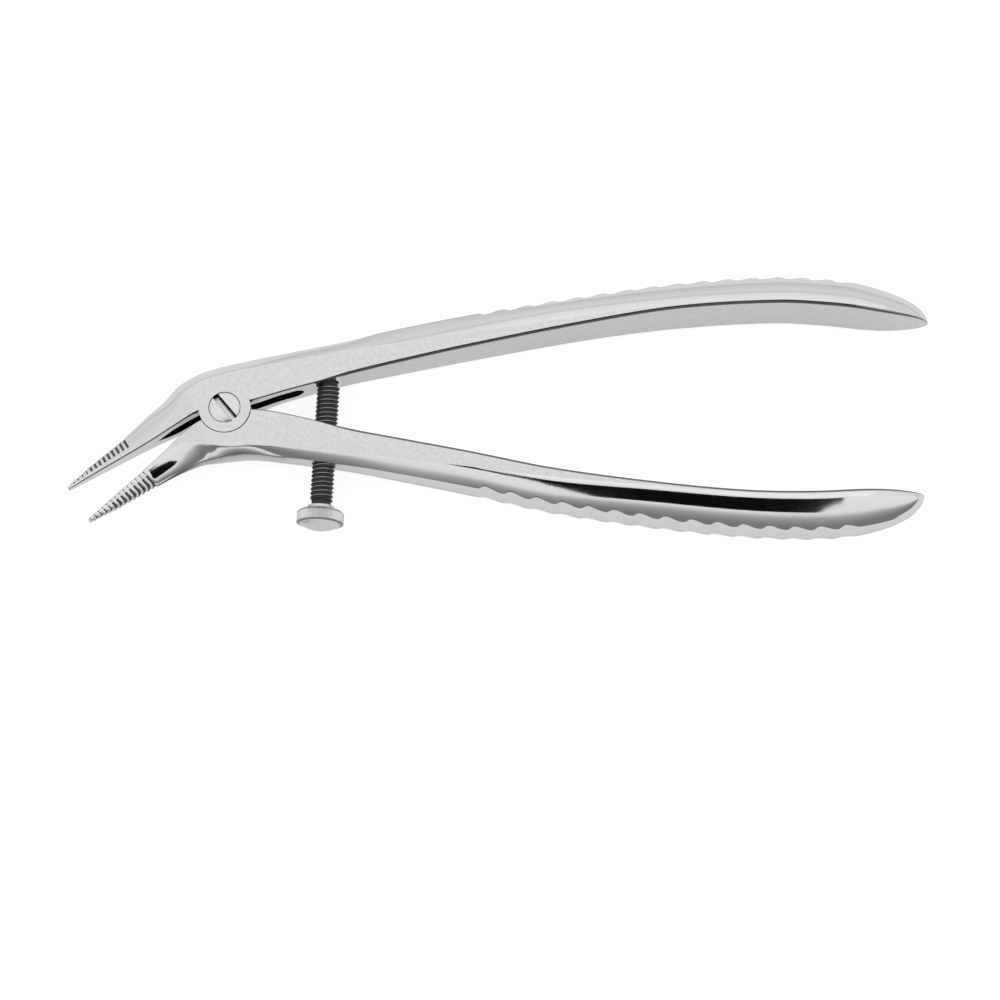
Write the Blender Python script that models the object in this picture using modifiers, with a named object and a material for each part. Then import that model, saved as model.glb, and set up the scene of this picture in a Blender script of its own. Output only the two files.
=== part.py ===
"""Crown pliers: two spreading levers on a slotted pivot screw, with a knurled stop screw.

The pliers lie on their side. The pivot axis is +Z, the handles run along +X, and the jaws
bend down to the left. Squeezing the handles spreads the jaws until the tip of the stop
screw, which is threaded through the lower lever, meets its seat in the upper lever.
"""
import math
from collections import namedtuple

import bmesh
import bpy
from mathutils import Matrix, Vector

# Pivot and lap joint, in metres and degrees
PIVOT_THICKNESS = 0.0083
BOSS_RADIUS = 0.0045
RUNNING_GAP = 0.00025
PIVOT_HEAD_RADIUS = 0.0027
PIVOT_HEAD_HEIGHT = 0.0017
PIVOT_SHANK_RADIUS = 0.0014
PIVOT_SLOT_WIDTH = 0.0008
PIVOT_SLOT_DEPTH = 0.0007
PIVOT_SLOT_ANGLE = -50.0

# Jaws
JAW_LENGTH = 0.0304
JAW_LINE_OFFSET = 0.0016
JAW_SLIT = 0.0003
UPPER_JAW_ANGLE = 30.5
JAW_OPENING = 11.5
JAW_TIP_HEIGHT = 0.00075
JAW_TIP_HALF_WIDTH = 0.00060
JAW_EDGE_HALF_WIDTH = 0.00020
JAW_ROOT_HEIGHT = 0.0066
SERRATION_START = 0.0174
SERRATION_COUNT = 14
SERRATION_DEPTH = 0.00022
SERRATION_TIP_SHARE = 0.5
GROOVE_RUN_OUT = 0.35

# Handles and grips
UPPER_HANDLE_LENGTH = 0.1238
UPPER_HANDLE_RISE = 0.0188
UPPER_GRIP_DEPTH = 0.0057
LOWER_HANDLE_LENGTH = 0.1220
LOWER_HANDLE_DROP = 0.0155
LOWER_GRIP_DEPTH = 0.0063
WAIST_HALF_WIDTH = 0.0033
GRIP_HALF_WIDTH = 0.0058
STRIP_HALF_WIDTH = 0.0030
NECK_STRIP_HALF_WIDTH = 0.0020
BUTT_LENGTH = 0.0150
SCALLOP_COUNT = 15
SCALLOP_START = 0.0454
SCALLOP_PITCH = 0.00445
SCALLOP_LENGTH = 0.0030
SCALLOP_DEPTH = 0.0008
SCALLOP_SLOPE = 1.2
NARROWEST_STRIP_SHARE = 0.3
OUTER_EDGE = 0.0001

# Stop screw
STOP_SCREW_STATION = 0.0179
STOP_SCREW_LEAN = 2.6
STOP_SCREW_RADIUS = 0.00200
STOP_SCREW_TIP_RADIUS = 0.0016
STOP_SCREW_TIP_LENGTH = 0.0012
STOP_SCREW_LENGTH = 0.0226
KNOB_SPIGOT_RADIUS = 0.0015
SEAT_RADIUS = 0.00225
SEAT_DEPTH = 0.00085
SCREW_MOUTH_RADIUS = 0.0026
SCREW_MOUTH_DEPTH = 0.0006
KNOB_RADIUS = 0.0041
KNOB_THICKNESS = 0.0025
KNOB_NECK_RADIUS = 0.0023
KNOB_NECK_LENGTH = 0.0010
KNOB_RIM_BEVEL = 0.00035
KNOB_BORE_DEPTH = 0.0013
KNURL_COUNT = 36
KNURL_DEPTH = 0.00016

# Facets
SIDE_POINTS = 3
INNER_EDGE_SHARE = 0.06
ROUND_SEGMENTS = 48
CUT_SEGMENTS = 32
OVERCUT = 0.001

# How far the convex sides curve, in degrees
JAW_TURN = 88
PIVOT_TURN = 52

HALF_PIVOT = PIVOT_THICKNESS / 2
LOWER_JAW_ANGLE = UPPER_JAW_ANGLE + JAW_OPENING
REST_HEIGHT = GRIP_HALF_WIDTH

# One cross-section of a lever. The inner and outer points lie in the lever's plane. half_width
# is half the thickness at the inner edge, flat the share of the height that the side stays
# flat, strip half the width of the outer strip, and turn how far the side curves, in degrees.
Section = namedtuple("Section", "at inner outer half_width flat strip turn")

# A handle: its length, how far its inner edge stands off the X axis at most, and its depth there.
HandleSize = namedtuple("HandleSize", "length rise depth")


def clear_scene():
    for item in list(bpy.data.objects):
        bpy.data.objects.remove(item, do_unlink=True)


def make_material(name, colour, roughness):
    material = bpy.data.materials.new(name)
    material.use_nodes = True
    shader = material.node_tree.nodes["Principled BSDF"]
    shader.inputs["Base Color"].default_value = (*colour, 1.0)
    shader.inputs["Metallic"].default_value = 1.0
    shader.inputs["Roughness"].default_value = roughness
    return material


def blend_sections(first, second, third, fourth, at):
    """A section between the second and third, on a smooth curve through all four."""
    span = third.at - second.at
    share = (at - second.at) / span
    start_slope_span = max(third.at - first.at, 1e-9)
    end_slope_span = max(fourth.at - second.at, 1e-9)
    weights = (
        2 * share**3 - 3 * share**2 + 1,
        share**3 - 2 * share**2 + share,
        -2 * share**3 + 3 * share**2,
        share**3 - share**2,
    )

    def mix(a, b, c, d):
        start_slope = (c - a) / start_slope_span * span
        end_slope = (d - b) / end_slope_span * span
        return weights[0] * b + weights[1] * start_slope + weights[2] * c + weights[3] * end_slope

    fields = []
    for a, b, c, d in zip(first, second, third, fourth):
        if isinstance(b, tuple):
            fields.append(tuple(mix(*values) for values in zip(a, b, c, d)))
        else:
            fields.append(mix(a, b, c, d))
    return Section(at, *fields[1:])


def section_at(sections, at):
    """The lever's section at a station, by a smooth curve through its named sections."""
    last = len(sections) - 1
    index = 0
    while index < last - 1 and sections[index + 1].at < at:
        index += 1
    return blend_sections(
        sections[max(index - 1, 0)],
        sections[index],
        sections[index + 1],
        sections[min(index + 2, last)],
        at,
    )


def jaw_section(side, share, height, half_width, flat, strip, turn):
    """A jaw section at a share of the jaw's length; side is +1 for the upper jaw, -1 for the lower."""
    angle = math.radians(UPPER_JAW_ANGLE if side > 0 else LOWER_JAW_ANGLE)
    along = Vector((-math.cos(angle), -math.sin(angle)))
    above = Vector((-math.sin(angle), math.cos(angle)))
    distance = share * JAW_LENGTH
    inner = above * (JAW_LINE_OFFSET + side * JAW_SLIT / 2) + along * distance
    outer = inner + above * (side * height)
    return Section(-distance, tuple(inner), tuple(outer), half_width, flat, strip, turn)


def pivot_section(at, inner, outer, half_width, flat, strip):
    """A section near the pivot; the station and the points are shares of the boss's radius."""
    boss = BOSS_RADIUS
    inner_point = (inner[0] * boss, inner[1] * boss)
    outer_point = (outer[0] * boss, outer[1] * boss)
    return Section(at * boss, inner_point, outer_point, half_width, flat, strip, PIVOT_TURN)


def handle_section(size, share, rise, depth, half_width, flat, strip, turn):
    """A section square to the X axis, at a share of the handle's length, rise and depth."""
    along = share * size.length
    inner = rise * size.rise
    outer = inner + depth * size.depth
    return Section(along, (along, inner), (along, outer), half_width, flat, strip, turn)


def upper_lever_sections():
    """The upper lever's sections from the jaw tip to the end of the handle."""
    size = HandleSize(UPPER_HANDLE_LENGTH, UPPER_HANDLE_RISE, UPPER_GRIP_DEPTH)
    root = JAW_ROOT_HEIGHT
    pivot = HALF_PIVOT
    waist = WAIST_HALF_WIDTH
    grip = GRIP_HALF_WIDTH
    strip = STRIP_HALF_WIDTH
    neck = NECK_STRIP_HALF_WIDTH
    tip = JAW_EDGE_HALF_WIDTH
    return [
        jaw_section(1, 1.00, JAW_TIP_HEIGHT, JAW_TIP_HALF_WIDTH, 0.0, 0.6 * tip, JAW_TURN),
        jaw_section(1, 0.83, 0.30 * root, 0.29 * pivot, 0.0, 0.75 * tip, JAW_TURN),
        jaw_section(1, 0.57, 0.53 * root, 0.44 * pivot, 0.0, tip, JAW_TURN),
        jaw_section(1, 0.42, 0.69 * root, 0.59 * pivot, 0.05, 0.35 * neck, 80),
        jaw_section(1, 0.28, 0.81 * root, 0.84 * pivot, 0.35, 0.65 * neck, 70),
        jaw_section(1, 0.15, 0.99 * root, 0.98 * pivot, 0.65, 0.85 * neck, 60),
        pivot_section(-0.49, (-0.55, -0.02), (-1.05, 1.51), pivot, 0.72, neck),
        pivot_section(0.11, (0.10, 0.07), (-0.15, 1.80), pivot, 0.75, 1.05 * neck),
        pivot_section(0.93, (1.00, 0.28), (1.00, 2.07), 0.96 * pivot, 0.75, 1.05 * neck),
        handle_section(size, 0.080, 0.166, 1.295, 1.02 * waist, 0.74, neck, 50),
        handle_section(size, 0.168, 0.330, 1.158, waist, 0.68, neck, 50),
        handle_section(size, 0.225, 0.420, 1.158, 0.65 * grip, 0.58, 0.80 * strip, 50),
        handle_section(size, 0.338, 0.585, 1.105, 0.76 * grip, 0.40, 0.95 * strip, 50),
        handle_section(size, 0.508, 0.809, 1.000, 0.87 * grip, 0.24, strip, 48),
        handle_section(size, 0.640, 0.942, 0.982, grip, 0.13, strip, 46),
        handle_section(size, 0.780, 1.000, 1.000, grip, 0.10, strip, 46),
        handle_section(size, 0.860, 0.973, 1.000, grip, 0.10, strip, 46),
        handle_section(size, 0.940, 0.910, 0.965, grip, 0.10, strip, 46),
        handle_section(size, 1.000, 0.888, 0.965, grip, 0.10, strip, 46),
    ]


def lower_lever_sections():
    """The lower lever's sections from the jaw tip to the end of the handle."""
    size = HandleSize(LOWER_HANDLE_LENGTH, -LOWER_HANDLE_DROP, -LOWER_GRIP_DEPTH)
    root = JAW_ROOT_HEIGHT
    pivot = HALF_PIVOT
    waist = WAIST_HALF_WIDTH
    grip = GRIP_HALF_WIDTH
    strip = STRIP_HALF_WIDTH
    neck = NECK_STRIP_HALF_WIDTH
    tip = JAW_EDGE_HALF_WIDTH
    return [
        jaw_section(-1, 1.00, JAW_TIP_HEIGHT, JAW_TIP_HALF_WIDTH, 0.0, 0.6 * tip, JAW_TURN),
        jaw_section(-1, 0.83, 0.30 * root, 0.29 * pivot, 0.0, 0.75 * tip, JAW_TURN),
        jaw_section(-1, 0.57, 0.52 * root, 0.44 * pivot, 0.0, tip, JAW_TURN),
        jaw_section(-1, 0.42, 0.66 * root, 0.59 * pivot, 0.05, 0.35 * neck, 80),
        jaw_section(-1, 0.30, 0.83 * root, 0.81 * pivot, 0.30, 0.65 * neck, 70),
        pivot_section(-1.00, (-1.00, -0.56), (-0.35, -1.90), 0.98 * pivot, 0.60, 0.90 * neck),
        pivot_section(-0.22, (-0.20, -0.29), (0.30, -1.80), pivot, 0.70, 1.05 * neck),
        pivot_section(1.02, (1.00, -0.05), (1.10, -1.75), 0.95 * pivot, 0.72, 1.05 * neck),
        handle_section(size, 0.085, 0.053, 1.213, 1.02 * waist, 0.74, neck, 50),
        handle_section(size, 0.178, 0.226, 1.035, waist, 0.68, neck, 50),
        handle_section(size, 0.235, 0.323, 1.000, 0.65 * grip, 0.58, 0.80 * strip, 50),
        handle_section(size, 0.350, 0.510, 0.984, 0.76 * grip, 0.40, 0.95 * strip, 50),
        handle_section(size, 0.465, 0.710, 0.984, 0.86 * grip, 0.26, strip, 48),
        handle_section(size, 0.608, 0.884, 0.984, 0.98 * grip, 0.14, strip, 46),
        handle_section(size, 0.740, 0.987, 1.000, grip, 0.10, strip, 46),
        handle_section(size, 0.840, 1.000, 1.032, grip, 0.10, strip, 46),
        handle_section(size, 0.930, 0.968, 1.000, grip, 0.10, strip, 46),
        handle_section(size, 1.000, 0.968, 0.952, grip, 0.10, strip, 46),
    ]


def serration_groove(at):
    """How deep the groove between two serrations is at a jaw station: nothing at a crest."""
    zone = JAW_LENGTH - SERRATION_START
    pitch = zone / SERRATION_COUNT
    distance = -at - SERRATION_START
    if distance < 0 or distance > zone:
        return 0.0
    crest = abs((distance / pitch) % 1.0 - 0.5) * 2
    taper = 1.0 - (1.0 - SERRATION_TIP_SHARE) * distance / zone
    return SERRATION_DEPTH * taper * (1.0 - crest)


def scallop_depth(at):
    """How deep the notch in the outer edge is at a handle station."""
    nearest = round((at - SCALLOP_START) / SCALLOP_PITCH)
    if nearest < 0 or nearest >= SCALLOP_COUNT:
        return 0.0
    offset = abs(at - SCALLOP_START - nearest * SCALLOP_PITCH)
    share = offset / (SCALLOP_LENGTH / 2)
    if share >= 1.0:
        return 0.0
    return SCALLOP_DEPTH * (1.0 - share**2)


def side_half_width(section, share):
    """Half the thickness at a share of the section's height from the inner edge."""
    if share <= section.flat:
        return section.half_width
    turn = math.radians(section.turn)
    sine = (share - section.flat) / (1.0 - section.flat) * math.sin(turn)
    cosine = math.sqrt(max(0.0, 1.0 - sine**2))
    fall = (cosine - math.cos(turn)) / (1.0 - math.cos(turn))
    return section.strip + (section.half_width - section.strip) * fall


def ring_points(section, handle_length):
    """The closed outline of one section, as points in the lever's own space."""
    inner = Vector(section.inner)
    rise = Vector(section.outer) - inner
    width_scale = 1.0
    past_butt = (section.at - handle_length + BUTT_LENGTH) / BUTT_LENGTH
    if past_butt > 0:
        width_scale = math.sqrt(max(0.0, 1.0 - past_butt**2))
        rise = rise * width_scale
    groove = serration_groove(section.at)
    notch = max(OUTER_EDGE, scallop_depth(section.at) * width_scale)
    height = max(rise.length, OUTER_EDGE)
    top_share = 1.0 - min(0.5, notch / height)
    flat = max(section.flat, INNER_EDGE_SHARE)
    half = [(0.0, section.half_width), (flat, side_half_width(section, flat))]
    for step in range(1, SIDE_POINTS + 1):
        share = flat + (top_share - flat) * step / (SIDE_POINTS + 1)
        half.append((share, side_half_width(section, share)))
    notch_width = side_half_width(section, top_share)
    half.append((top_share, notch_width))
    strip_width = section.strip - SCALLOP_SLOPE * (notch - OUTER_EDGE)
    half.append((1.0, max(NARROWEST_STRIP_SHARE * section.strip, strip_width)))
    upper = []
    for share, width in half:
        cut = groove * min(1.0, share / GROOVE_RUN_OUT)
        reach = share * (1.0 - cut / height)
        point = inner + rise * reach
        upper.append(Vector((point.x, point.y, (width - cut * (1.0 - share)) * width_scale)))
    lower = [Vector((point.x, point.y, -point.z)) for point in reversed(upper)]
    return upper + lower


def lever_stations(sections, handle_length):
    """The stations of a lever's rings: close together at the serrations, scallops and butt."""
    stations = set()
    pitch = (JAW_LENGTH - SERRATION_START) / SERRATION_COUNT
    for index in range(2 * SERRATION_COUNT + 1):
        stations.add(-SERRATION_START - index * pitch / 2)
    jaw_root = max(section.at for section in sections if section.at < -JAW_LENGTH / 10)
    plain_starts = [-SERRATION_START, jaw_root, STOP_SCREW_STATION, SCALLOP_START - SCALLOP_PITCH]
    plain_counts = [5, 12, 7]
    for start, end, count in zip(plain_starts, plain_starts[1:], plain_counts):
        for index in range(1, count + 1):
            stations.add(start + (end - start) * index / count)
    for index in range(SCALLOP_COUNT):
        centre = SCALLOP_START + index * SCALLOP_PITCH
        for share in (-1.0, -0.6, 0.0, 0.6, 1.0):
            stations.add(centre + share * SCALLOP_LENGTH / 2)
    butt = handle_length - BUTT_LENGTH
    last_scallop = max(stations)
    for degrees in (0, 12, 24, 36, 48, 58, 68, 77, 84):
        station = butt + BUTT_LENGTH * math.sin(math.radians(degrees))
        if station > last_scallop + SCALLOP_LENGTH / 5:
            stations.add(station)
    return sorted(stations)


def loft(name, rings):
    """A closed solid through a row of outlines with as many points each."""
    mesh = bmesh.new()
    rows = [[mesh.verts.new(point) for point in ring] for ring in rings]
    for first, second in zip(rows, rows[1:]):
        for index, vertex in enumerate(first):
            after = (index + 1) % len(first)
            mesh.faces.new((vertex, first[after], second[after], second[index]))
    mesh.faces.new(list(reversed(rows[0])))
    mesh.faces.new(rows[-1])
    bmesh.ops.recalc_face_normals(mesh, faces=mesh.faces)
    return finish_mesh(name, mesh)


def finish_mesh(name, mesh):
    data = bpy.data.meshes.new(name)
    mesh.to_mesh(data)
    mesh.free()
    return bpy.data.objects.new(name, data)


def cylinder(name, radius, bottom, top, segments=ROUND_SEGMENTS, top_radius=None):
    """A cylinder or cone about the local Z axis between two heights."""
    mesh = bmesh.new()
    bmesh.ops.create_cone(
        mesh,
        cap_ends=True,
        segments=segments,
        radius1=radius,
        radius2=radius if top_radius is None else top_radius,
        depth=top - bottom,
        matrix=Matrix.Translation((0, 0, (top + bottom) / 2)),
    )
    return finish_mesh(name, mesh)


def boolean(target, tool, operation):
    modifier = target.modifiers.new(f"{operation.lower()}_{tool.name}", "BOOLEAN")
    modifier.operation = operation
    modifier.object = tool
    modifier.solver = "EXACT"


def add_cutter(tool, cutters, parent):
    tool.hide_render = True
    tool.display_type = "WIRE"
    tool.parent = parent
    cutters.objects.link(tool)
    return tool


def stop_screw_frame(seat_height):
    """A matrix whose Z axis runs up the stop screw, with its origin on the seat's floor."""
    lean = math.radians(STOP_SCREW_LEAN)
    turn = Matrix.Rotation(-lean, 4, "Z") @ Matrix.Rotation(-math.pi / 2, 4, "X")
    return Matrix.Translation((STOP_SCREW_STATION, seat_height, 0)) @ turn


def seat_height_above_pivot(sections):
    inner_edge = section_at(sections, STOP_SCREW_STATION).inner[1]
    return inner_edge + SEAT_DEPTH


def build_lever(name, sections, handle_length, material, parts, parent):
    stations = lever_stations(sections, handle_length)
    rings = [ring_points(section_at(sections, at), handle_length) for at in stations]
    lever = loft(name, rings)
    lever.data.materials.append(material)
    lever.parent = parent
    parts.objects.link(lever)
    return lever


def smooth(item):
    item.data.shade_smooth()
    item.data.set_sharp_from_angle(angle=math.radians(30))


def build_upper_lever(parts, cutters, pivot_empty):
    """The upper lever: its boss is the front half of the lap, with the pivot head let in."""
    material = make_material("upper_lever_steel", (0.80, 0.81, 0.82), 0.28)
    sections = upper_lever_sections()
    lever = build_lever("upper_lever", sections, UPPER_HANDLE_LENGTH, material, parts, pivot_empty)
    boss = cylinder("upper_boss", BOSS_RADIUS, RUNNING_GAP / 2, HALF_PIVOT)
    lap = cylinder("upper_lap_room", BOSS_RADIUS + RUNNING_GAP, -HALF_PIVOT - OVERCUT, RUNNING_GAP / 2)
    head_room = cylinder(
        "pivot_head_room",
        PIVOT_HEAD_RADIUS + RUNNING_GAP / 2,
        HALF_PIVOT - PIVOT_HEAD_HEIGHT - RUNNING_GAP,
        HALF_PIVOT + OVERCUT,
        CUT_SEGMENTS,
    )
    shank_room = cylinder(
        "upper_shank_room", PIVOT_SHANK_RADIUS + RUNNING_GAP, -OVERCUT, HALF_PIVOT + OVERCUT, CUT_SEGMENTS
    )
    seat = cylinder("stop_screw_seat", SEAT_RADIUS, -BOSS_RADIUS, 0, CUT_SEGMENTS)
    seat.matrix_local = stop_screw_frame(seat_height_above_pivot(sections))
    boolean(lever, add_cutter(boss, cutters, pivot_empty), "UNION")
    for tool in (lap, head_room, shank_room, seat):
        boolean(lever, add_cutter(tool, cutters, pivot_empty), "DIFFERENCE")
    smooth(lever)
    return lever


def build_lower_lever(parts, cutters, root):
    """The lower lever: its boss is the back half of the lap, with the stop screw's hole beside it."""
    material = make_material("lower_lever_steel", (0.80, 0.81, 0.82), 0.25)
    sections = lower_lever_sections()
    lever = build_lever("lower_lever", sections, LOWER_HANDLE_LENGTH, material, parts, root)
    boss = cylinder("lower_boss", BOSS_RADIUS, -HALF_PIVOT, -RUNNING_GAP / 2)
    lap = cylinder("lower_lap_room", BOSS_RADIUS + RUNNING_GAP, -RUNNING_GAP / 2, HALF_PIVOT + OVERCUT)
    shank_room = cylinder(
        "lower_shank_room", PIVOT_SHANK_RADIUS + RUNNING_GAP, -HALF_PIVOT - OVERCUT, OVERCUT, CUT_SEGMENTS
    )
    frame = stop_screw_frame(seat_height_above_pivot(upper_lever_sections()))
    hole = cylinder(
        "stop_screw_hole", STOP_SCREW_RADIUS + RUNNING_GAP, -STOP_SCREW_LENGTH, 0, CUT_SEGMENTS
    )
    hole.matrix_local = frame
    outer_edge = section_at(sections, STOP_SCREW_STATION).outer[1]
    mouth_top = outer_edge - seat_height_above_pivot(upper_lever_sections()) + SCREW_MOUTH_DEPTH
    mouth = cylinder(
        "stop_screw_mouth",
        SCREW_MOUTH_RADIUS + OVERCUT,
        mouth_top - SCREW_MOUTH_DEPTH - OVERCUT,
        mouth_top,
        CUT_SEGMENTS,
        STOP_SCREW_RADIUS,
    )
    mouth.matrix_local = frame
    boolean(lever, add_cutter(boss, cutters, root), "UNION")
    for tool in (lap, shank_room, hole, mouth):
        boolean(lever, add_cutter(tool, cutters, root), "DIFFERENCE")
    smooth(lever)
    return lever


def build_pivot_screw(parts, cutters, root):
    """The slotted screw through both bosses: its head is flush with the front face."""
    material = make_material("pivot_screw_steel", (0.74, 0.75, 0.77), 0.22)
    profile = [
        (0.0, HALF_PIVOT),
        (PIVOT_HEAD_RADIUS, HALF_PIVOT),
        (PIVOT_HEAD_RADIUS, HALF_PIVOT - PIVOT_HEAD_HEIGHT),
        (PIVOT_SHANK_RADIUS, HALF_PIVOT - PIVOT_HEAD_HEIGHT),
        (PIVOT_SHANK_RADIUS, -HALF_PIVOT),
        (0.0, -HALF_PIVOT),
    ]
    screw = turned("pivot_screw", profile, CUT_SEGMENTS)
    screw.data.materials.append(material)
    screw.parent = root
    parts.objects.link(screw)
    mesh = bmesh.new()
    bmesh.ops.create_cube(mesh, size=1.0)
    slot_length = 2 * PIVOT_HEAD_RADIUS + OVERCUT
    slot_height = PIVOT_SLOT_DEPTH + OVERCUT
    bmesh.ops.scale(mesh, vec=(slot_length, PIVOT_SLOT_WIDTH, slot_height), verts=mesh.verts)
    slot = finish_mesh("pivot_slot", mesh)
    slot.location = (0, 0, HALF_PIVOT - PIVOT_SLOT_DEPTH + slot_height / 2)
    slot.rotation_euler = (0, 0, math.radians(PIVOT_SLOT_ANGLE))
    boolean(screw, add_cutter(slot, cutters, root), "DIFFERENCE")
    return screw


def turned(name, profile, segments):
    """A solid turned about Z from a profile of (radius, height) pairs, top to bottom."""
    mesh = bmesh.new()
    points = [mesh.verts.new((radius, 0, height)) for radius, height in profile]
    for first, second in zip(points, points[1:]):
        mesh.edges.new((first, second))
    item = finish_mesh(name, mesh)
    turn = item.modifiers.new("turn", "SCREW")
    turn.axis = "Z"
    turn.steps = segments
    turn.render_steps = segments
    turn.use_merge_vertices = True
    turn.merge_threshold = 0.00001
    turn.use_smooth_shade = False
    return item


def build_stop_screw(parts, screw_empty):
    """The threaded rod of the stop screw, without its thread, with a tapered tip."""
    material = make_material("stop_screw_steel", (0.62, 0.63, 0.65), 0.35)
    top = -RUNNING_GAP
    bottom = top - STOP_SCREW_LENGTH - KNOB_BORE_DEPTH
    profile = [
        (0.0, top),
        (STOP_SCREW_TIP_RADIUS, top),
        (STOP_SCREW_RADIUS, top - STOP_SCREW_TIP_LENGTH),
        (STOP_SCREW_RADIUS, top - STOP_SCREW_LENGTH),
        (KNOB_SPIGOT_RADIUS, top - STOP_SCREW_LENGTH - RUNNING_GAP),
        (KNOB_SPIGOT_RADIUS, bottom),
        (0.0, bottom),
    ]
    rod = turned("stop_screw", profile, CUT_SEGMENTS)
    rod.data.materials.append(material)
    rod.parent = screw_empty
    parts.objects.link(rod)
    return rod


def build_knob(parts, screw_empty):
    """The knurled knob on the end of the stop screw, with its short neck."""
    material = make_material("knob_steel", (0.78, 0.79, 0.80), 0.30)
    top = -RUNNING_GAP - STOP_SCREW_LENGTH - RUNNING_GAP
    shoulder = top - KNOB_NECK_LENGTH
    base = shoulder - KNOB_THICKNESS
    bore = KNOB_SPIGOT_RADIUS + RUNNING_GAP
    bore_floor = top - KNOB_BORE_DEPTH - RUNNING_GAP
    heights = [
        (bore, bore_floor),
        (bore, top),
        (KNOB_NECK_RADIUS, top),
        (KNOB_NECK_RADIUS, shoulder),
        (KNOB_RADIUS - KNOB_RIM_BEVEL, shoulder),
        (KNOB_RADIUS, shoulder - KNOB_RIM_BEVEL),
        (KNOB_RADIUS, base + KNOB_RIM_BEVEL),
        (KNOB_RADIUS - KNOB_RIM_BEVEL, base),
    ]
    mesh = bmesh.new()
    rows = []
    for radius, height in heights:
        row = []
        for index in range(2 * KNURL_COUNT):
            angle = math.pi * index / KNURL_COUNT
            groove = KNURL_DEPTH if radius == KNOB_RADIUS and index % 2 else 0.0
            reach = radius - groove
            row.append(mesh.verts.new((reach * math.cos(angle), reach * math.sin(angle), height)))
        rows.append(row)
    for first, second in zip(rows, rows[1:]):
        for index, vertex in enumerate(first):
            after = (index + 1) % len(first)
            mesh.faces.new((vertex, first[after], second[after], second[index]))
    mesh.faces.new(rows[0])
    mesh.faces.new(rows[-1])
    bmesh.ops.recalc_face_normals(mesh, faces=mesh.faces)
    knob = finish_mesh("stop_screw_knob", mesh)
    knob.data.materials.append(material)
    knob.parent = screw_empty
    parts.objects.link(knob)
    return knob


def centre_on_floor(root, parts):
    """Put the middle of the model's box over the origin, with its lowest point on the floor."""
    bpy.context.view_layer.update()
    graph = bpy.context.evaluated_depsgraph_get()
    corners = []
    for item in parts.objects:
        if item.type != "MESH":
            continue
        solid = item.evaluated_get(graph)
        data = solid.to_mesh()
        corners += [solid.matrix_world @ vertex.co for vertex in data.vertices]
        solid.to_mesh_clear()
    low_x, high_x = min(point.x for point in corners), max(point.x for point in corners)
    low_y, high_y = min(point.y for point in corners), max(point.y for point in corners)
    root.location.x -= (low_x + high_x) / 2
    root.location.y -= (low_y + high_y) / 2
    root.location.z -= min(point.z for point in corners)


def main():
    clear_scene()
    parts = bpy.data.collections.new("crown_pliers")
    cutters = bpy.data.collections.new("cutters")
    bpy.context.scene.collection.children.link(parts)
    bpy.context.scene.collection.children.link(cutters)

    root = bpy.data.objects.new("pliers_root", None)
    root.location = (0, 0, REST_HEIGHT)
    parts.objects.link(root)
    pivot_empty = bpy.data.objects.new("pivot_axis", None)
    pivot_empty.parent = root
    parts.objects.link(pivot_empty)
    screw_empty = bpy.data.objects.new("stop_screw_axis", None)
    screw_empty.parent = root
    screw_empty.matrix_local = stop_screw_frame(seat_height_above_pivot(upper_lever_sections()))
    parts.objects.link(screw_empty)

    build_upper_lever(parts, cutters, pivot_empty)
    build_lower_lever(parts, cutters, root)
    build_pivot_screw(parts, cutters, root)
    build_stop_screw(parts, screw_empty)
    build_knob(parts, screw_empty)
    centre_on_floor(root, parts)


main()
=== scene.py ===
"""Looks of the crown pliers: ground and polished steel levers, screws and knob in a pale studio.

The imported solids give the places. Each sub-assembly is a class that builds its own meshes about
the pivot's axis, where +Z is the axis, +X runs towards the grips and the origin is in the middle
of the lap joint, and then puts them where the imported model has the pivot.
"""
import logging
import math
from dataclasses import dataclass, field, fields
from enum import Enum, IntEnum
from typing import Iterable, Sequence

import bmesh
import bpy
from mathutils import Matrix, Vector


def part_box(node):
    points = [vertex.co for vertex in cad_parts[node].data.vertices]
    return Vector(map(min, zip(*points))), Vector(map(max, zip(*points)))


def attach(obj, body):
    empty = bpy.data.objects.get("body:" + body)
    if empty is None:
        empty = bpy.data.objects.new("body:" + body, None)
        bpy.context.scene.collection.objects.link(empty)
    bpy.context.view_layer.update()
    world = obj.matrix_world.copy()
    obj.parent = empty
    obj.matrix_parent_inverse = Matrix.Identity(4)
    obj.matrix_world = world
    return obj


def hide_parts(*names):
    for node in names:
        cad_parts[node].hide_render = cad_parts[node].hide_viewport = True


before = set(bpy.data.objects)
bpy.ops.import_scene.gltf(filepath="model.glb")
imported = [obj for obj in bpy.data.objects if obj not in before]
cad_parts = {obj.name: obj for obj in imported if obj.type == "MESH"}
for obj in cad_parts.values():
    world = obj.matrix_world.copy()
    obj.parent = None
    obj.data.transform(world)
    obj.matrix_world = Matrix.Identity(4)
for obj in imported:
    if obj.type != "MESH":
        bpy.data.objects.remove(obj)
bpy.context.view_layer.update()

log = logging.getLogger("crown_pliers")

Piece = bpy.types.Object
Finishes = Sequence[bpy.types.Material]
Tree = bpy.types.NodeTree
Socket = bpy.types.NodeSocket


# Material helpers


Source = float | tuple[float, ...] | Socket


def feed(tree: Tree, node: bpy.types.Node, inputs: dict[str | int, Source]) -> None:
    """Set or link a node's inputs.

    Args:
        tree: The node tree.
        node: The node.
        inputs: A value, or the socket to link from, for each input's name or number.
    """
    for key, source in inputs.items():
        if isinstance(source, Socket):
            tree.links.new(source, node.inputs[key])
        else:
            node.inputs[key].default_value = source


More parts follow.
